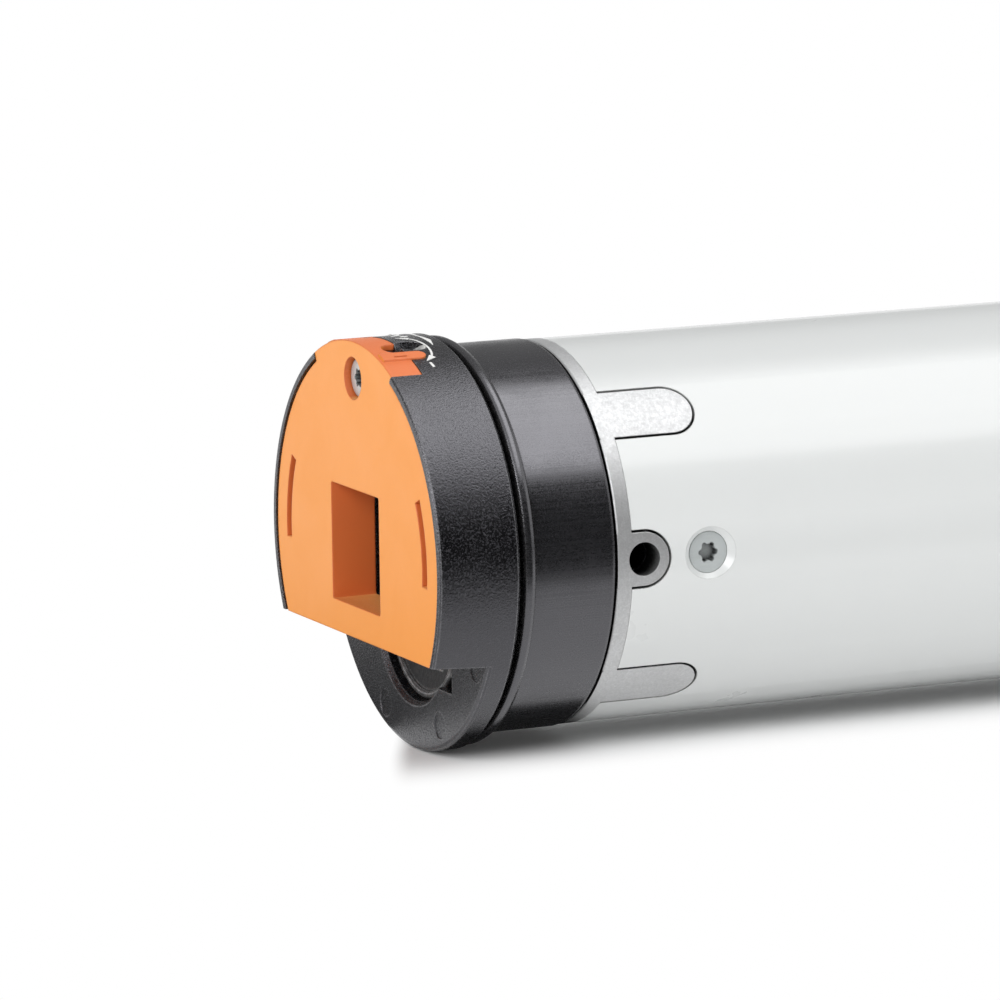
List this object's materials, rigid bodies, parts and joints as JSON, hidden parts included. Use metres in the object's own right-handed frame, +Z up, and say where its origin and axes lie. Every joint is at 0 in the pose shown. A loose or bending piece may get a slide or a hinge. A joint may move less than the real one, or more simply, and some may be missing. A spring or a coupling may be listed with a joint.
{
  "type": "tubular roller blind motor",
  "caption": "Tubular roller blind motor with a round head, square pin socket, driven crown and a drive spigot; limit unit, motor, brake and gearbox inside.",
  "frame": {"origin": "centre of the square pin socket on the outer face of the bearing plate", "axes": "+X along the tube from the head to the drive end, +Z up with the flat edge of the head below"},
  "size_m": [0.5005, 0.0644, 0.0644],
  "materials": {
    "orange_plastic": "fine spark-eroded moulding",
    "black_textured_plastic": "spark-eroded moulding",
    "inlet_plastic": "moulded",
    "crown_plastic": "satin moulding",
    "die_cast_zinc": "as cast",
    "white_paint": "satin enamel",
    "zinc_plated_steel": "bright zinc",
    "setting_screw_steel": "turned",
    "contact_brass": "plated",
    "frame_plastic": "moulded",
    "gear_plastic": "moulded",
    "spindle_steel": "turned",
    "nut_yellow": "moulded",
    "nut_white": "moulded",
    "switch_black": "moulded",
    "plunger_red": "moulded",
    "board_green": "lacquered",
    "capacitor_can": "drawn",
    "die_cast_alloy": "as cast",
    "lamination_steel": "stacked sheets",
    "copper_wire": "enamelled",
    "rotor_aluminium": "cast",
    "ground_steel": "ground",
    "bearing_steel": "polished",
    "brake_iron": "turned",
    "spring_steel": "drawn",
    "friction_lining": "pressed",
    "gear_steel": "hobbed",
    "sintered_bronze": "sintered"
  },
  "bodies": {
    "case": {"bearing_plate": "orange_plastic", "plate_screw": "zinc_plated_steel", "head_shell": "black_textured_plastic", "cable_socket": "inlet_plastic", "socket_contacts": "contact_brass", "head_insert": "die_cast_zinc", "switch_frame": "frame_plastic", "microswitches": "switch_black", "terminal_board": "board_green", "capacitor": "capacitor_can", "capacitor_holder": "frame_plastic", "tube": "white_paint", "tube_screws": "zinc_plated_steel", "front_shield": "die_cast_alloy", "stator_core": "lamination_steel", "stator_winding": "copper_wire", "bearing_outer_rings": "bearing_steel", "rear_shield": "die_cast_alloy", "brake_pot": "brake_iron", "brake_coil": "copper_wire", "brake_spring": "spring_steel", "brake_plate": "brake_iron", "ring_gear": "gear_steel", "output_bush": "sintered_bronze", "gearbox_cover": "die_cast_alloy"},
    "crown": {"crown": "crown_plastic"},
    "drive_pinion": {"drive_pinion": "gear_plastic"},
    "limit_spindle_up": {"limit_spindle_up": "spindle_steel"},
    "limit_spindle_down": {"limit_spindle_down": "spindle_steel"},
    "limit_nut_up": {"limit_nut_up": "nut_yellow"},
    "limit_nut_down": {"limit_nut_down": "nut_white"},
    "setting_screw_up": {"setting_screw_up": "setting_screw_steel"},
    "setting_screw_down": {"setting_screw_down": "setting_screw_steel"},
    "plunger_up": {"plunger_up": "plunger_red"},
    "plunger_down": {"plunger_down": "plunger_red"},
    "rotor": {"rotor_core": "lamination_steel", "rotor_cage": "rotor_aluminium", "rotor_shaft": "ground_steel", "bearing_inner_rings": "bearing_steel", "brake_disc": "friction_lining", "motor_pinion": "gear_steel"},
    "balls": {"bearing_balls": "bearing_steel"},
    "brake_armature": {"brake_armature": "brake_iron"},
    "carrier_1": {"carrier_1": "gear_steel", "planet_pins_1": "ground_steel"},
    "carrier_2": {"carrier_2": "gear_steel", "planet_pins_2": "ground_steel"},
    "output": {"output_carrier": "gear_steel", "planet_pins_3": "ground_steel", "output_shaft": "ground_steel", "circlip": "spring_steel"},
    "planet_1_a": {"planet_1_a": "gear_steel"},
    "planet_1_b": {"planet_1_b": "gear_steel"},
    "planet_1_c": {"planet_1_c": "gear_steel"},
    "planet_2_a": {"planet_2_a": "gear_steel"},
    "planet_2_b": {"planet_2_b": "gear_steel"},
    "planet_2_c": {"planet_2_c": "gear_steel"},
    "planet_3_a": {"planet_3_a": "gear_steel"},
    "planet_3_b": {"planet_3_b": "gear_steel"},
    "planet_3_c": {"planet_3_c": "gear_steel"}
  },
  "joints": [
    {"name": "crown_turn", "type": "hinge", "parent": "case", "child": "crown", "pos_m": [0.0142, 0, 0], "axis": [1, 0, 0], "range_deg": [-6030, 6030]},
    {"name": "drive_pinion_turn", "type": "hinge", "parent": "case", "child": "drive_pinion", "pos_m": [0.0232, 0, 0.0192], "axis": [1, 0, 0], "range_deg": [-20502, 20502]},
    {"name": "limit_spindle_up_turn", "type": "hinge", "parent": "case", "child": "limit_spindle_up", "pos_m": [0.0384, -0.00892, 0.01117], "axis": [1, 0, 0], "range_deg": [-10251, 10251]},
    {"name": "limit_spindle_down_turn", "type": "hinge", "parent": "case", "child": "limit_spindle_down", "pos_m": [0.0384, 0.00892, 0.01117], "axis": [1, 0, 0], "range_deg": [-10251, 10251]},
    {"name": "limit_nut_up_slide", "type": "slide", "parent": "case", "child": "limit_nut_up", "axis": [1, 0, 0], "range_m": [-0.01708, 0.01708]},
    {"name": "limit_nut_down_slide", "type": "slide", "parent": "case", "child": "limit_nut_down", "axis": [1, 0, 0], "range_m": [-0.01708, 0.01708]},
    {"name": "setting_screw_up_turn", "type": "hinge", "parent": "case", "child": "setting_screw_up", "pos_m": [0.0071, -0.00559, 0.03171], "axis": [0.5691, -0.1314, -0.8117], "continuous": true},
    {"name": "setting_screw_down_turn", "type": "hinge", "parent": "case", "child": "setting_screw_down", "pos_m": [0.0071, 0.00559, 0.03171], "axis": [0.5691, 0.1314, -0.8117], "continuous": true},
    {"name": "plunger_up_press", "type": "slide", "parent": "case", "child": "plunger_up", "axis": [1, 0, 0], "range_m": [0, 0.0006], "stiffness_N_per_m": 100},
    {"name": "plunger_down_press", "type": "slide", "parent": "case", "child": "plunger_down", "axis": [1, 0, 0], "range_m": [0, 0.0006], "stiffness_N_per_m": 100},
    {"name": "rotor_turn", "type": "hinge", "parent": "case", "child": "rotor", "pos_m": [0.21687, 0, 0], "axis": [1, 0, 0], "continuous": true},
    {"name": "ball_set_turn", "type": "hinge", "parent": "case", "child": "balls", "pos_m": [0.19937, 0, 0], "axis": [1, 0, 0], "continuous": true},
    {"name": "brake_armature_pull", "type": "slide", "parent": "case", "child": "brake_armature", "axis": [1, 0, 0], "range_m": [-0.0004, 0], "stiffness_N_per_m": 4000, "springref_m": 0.003},
    {"name": "carrier_1_turn", "type": "hinge", "parent": "case", "child": "carrier_1", "pos_m": [0.39227, 0, 0], "axis": [1, 0, 0], "continuous": true},
    {"name": "planet_1_a_turn", "type": "hinge", "parent": "carrier_1", "child": "planet_1_a", "pos_m": [0.38127, 0, 0.015], "axis": [1, 0, 0], "continuous": true},
    {"name": "planet_1_b_turn", "type": "hinge", "parent": "carrier_1", "child": "planet_1_b", "pos_m": [0.38127, -0.01299, -0.0075], "axis": [1, 0, 0], "continuous": true},
    {"name": "planet_1_c_turn", "type": "hinge", "parent": "carrier_1", "child": "planet_1_c", "pos_m": [0.38127, 0.01299, -0.0075], "axis": [1, 0, 0], "continuous": true},
    {"name": "carrier_2_turn", "type": "hinge", "parent": "case", "child": "carrier_2", "pos_m": [0.41277, 0, 0], "axis": [1, 0, 0], "continuous": true},
    {"name": "planet_2_a_turn", "type": "hinge", "parent": "carrier_2", "child": "planet_2_a", "pos_m": [0.39777, 0, 0.015], "axis": [1, 0, 0], "continuous": true},
    {"name": "planet_2_b_turn", "type": "hinge", "parent": "carrier_2", "child": "planet_2_b", "pos_m": [0.39777, -0.01299, -0.0075], "axis": [1, 0, 0], "continuous": true},
    {"name": "planet_2_c_turn", "type": "hinge", "parent": "carrier_2", "child": "planet_2_c", "pos_m": [0.39777, 0.01299, -0.0075], "axis": [1, 0, 0], "continuous": true},
    {"name": "output_turn", "type": "hinge", "parent": "case", "child": "output", "pos_m": [0.43927, 0, 0], "axis": [1, 0, 0], "continuous": true},
    {"name": "planet_3_a_turn", "type": "hinge", "parent": "output", "child": "planet_3_a", "pos_m": [0.41827, 0, 0.015], "axis": [1, 0, 0], "continuous": true},
    {"name": "planet_3_b_turn", "type": "hinge", "parent": "output", "child": "planet_3_b", "pos_m": [0.41827, -0.01299, -0.0075], "axis": [1, 0, 0], "continuous": true},
    {"name": "planet_3_c_turn", "type": "hinge", "parent": "output", "child": "planet_3_c", "pos_m": [0.41827, 0.01299, -0.0075], "axis": [1, 0, 0], "continuous": true}
  ],
  "couplings": [
    {"joint": "drive_pinion_turn", "follows": "crown_turn", "ratio": 3.4},
    {"joint": "limit_spindle_up_turn", "follows": "crown_turn", "ratio": -1.7},
    {"joint": "limit_spindle_down_turn", "follows": "crown_turn", "ratio": -1.7},
    {"joint": "limit_nut_up_slide", "follows": "crown_turn", "m_per_rad": 0.00016234},
    {"joint": "limit_nut_down_slide", "follows": "crown_turn", "m_per_rad": -0.00016234},
    {"joint": "ball_set_turn", "follows": "rotor_turn", "ratio": 0.368},
    {"joint": "carrier_1_turn", "follows": "rotor_turn", "ratio": 0.2},
    {"joint": "planet_1_a_turn", "follows": "rotor_turn", "ratio": -0.53333},
    {"joint": "planet_1_b_turn", "follows": "rotor_turn", "ratio": -0.53333},
    {"joint": "planet_1_c_turn", "follows": "rotor_turn", "ratio": -0.53333},
    {"joint": "carrier_2_turn", "follows": "rotor_turn", "ratio": 0.04},
    {"joint": "planet_2_a_turn", "follows": "rotor_turn", "ratio": -0.10667},
    {"joint": "planet_2_b_turn", "follows": "rotor_turn", "ratio": -0.10667},
    {"joint": "planet_2_c_turn", "follows": "rotor_turn", "ratio": -0.10667},
    {"joint": "output_turn", "follows": "rotor_turn", "ratio": 0.008},
    {"joint": "planet_3_a_turn", "follows": "rotor_turn", "ratio": -0.021333},
    {"joint": "planet_3_b_turn", "follows": "rotor_turn", "ratio": -0.021333},
    {"joint": "planet_3_c_turn", "follows": "rotor_turn", "ratio": -0.021333}
  ]
}
